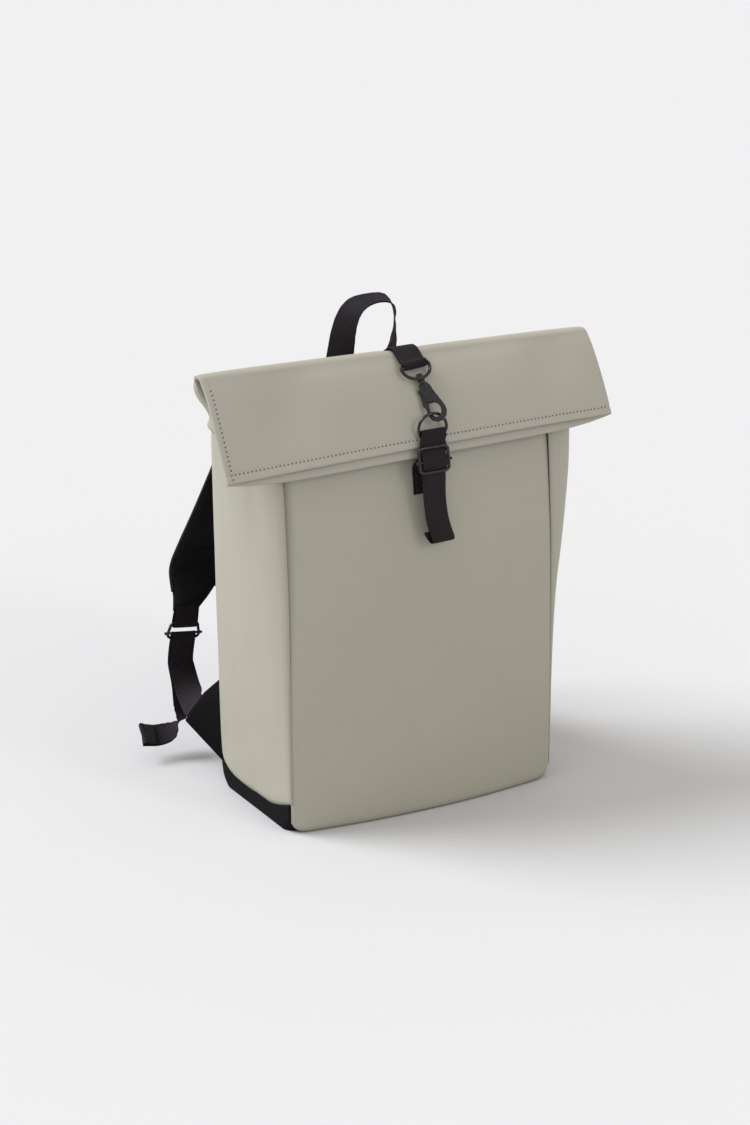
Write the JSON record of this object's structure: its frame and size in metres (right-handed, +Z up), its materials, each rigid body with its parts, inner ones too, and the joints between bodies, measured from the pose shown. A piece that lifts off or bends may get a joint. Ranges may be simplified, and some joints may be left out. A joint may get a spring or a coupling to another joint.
{
  "type": "rolltop backpack",
  "caption": "Tall box-shaped rolltop backpack in pale coated cloth, its folded mouth held by a webbing strap, snap hook and D-ring, on padded shoulder straps.",
  "frame": {"origin": "middle of the body at the plane its flat base rests on", "axes": "+Z up, -Y towards the front panel with the closure, +Y towards the shoulder straps, +X to the right seen from the front"},
  "size_m": [0.4042, 0.2865, 0.4778],
  "materials": {
    "coated_cloth": "smooth matt coating",
    "black_cloth": "plain woven nylon",
    "webbing": "ribbed webbing",
    "dark_metal": "glossy black"
  },
  "bodies": {
    "bag": {"front_panel": "coated_cloth", "gusset_left": "coated_cloth", "gusset_right": "coated_cloth", "back_panel": "black_cloth", "base_panel": "black_cloth", "roll_top": "coated_cloth", "haul_handle": "webbing", "closure_strap_top": "webbing", "hook_loop": "dark_metal", "snap_hook": "dark_metal", "d_ring": "dark_metal", "closure_strap_lower": "webbing", "closure_slider": "dark_metal", "shoulder_strap_left": "black_cloth", "strap_loop_left": "webbing", "strap_slider_left": "dark_metal", "adjuster_webbing_left": "webbing", "wing_left": "black_cloth", "shoulder_strap_right": "black_cloth", "strap_loop_right": "webbing", "strap_slider_right": "dark_metal", "adjuster_webbing_right": "webbing", "wing_right": "black_cloth"},
    "gate": {"hook_gate": "dark_metal"}
  },
  "joints": [
    {"name": "gate_pivot", "type": "hinge", "parent": "bag", "child": "gate", "pos_m": [0.00749, -0.06877, 0.39894], "axis": [-0.5827, -0.635, 0.5071], "range_deg": [0, 20], "stiffness_Nm_per_rad": 0.02, "springref_deg": -20.05}
  ]
}
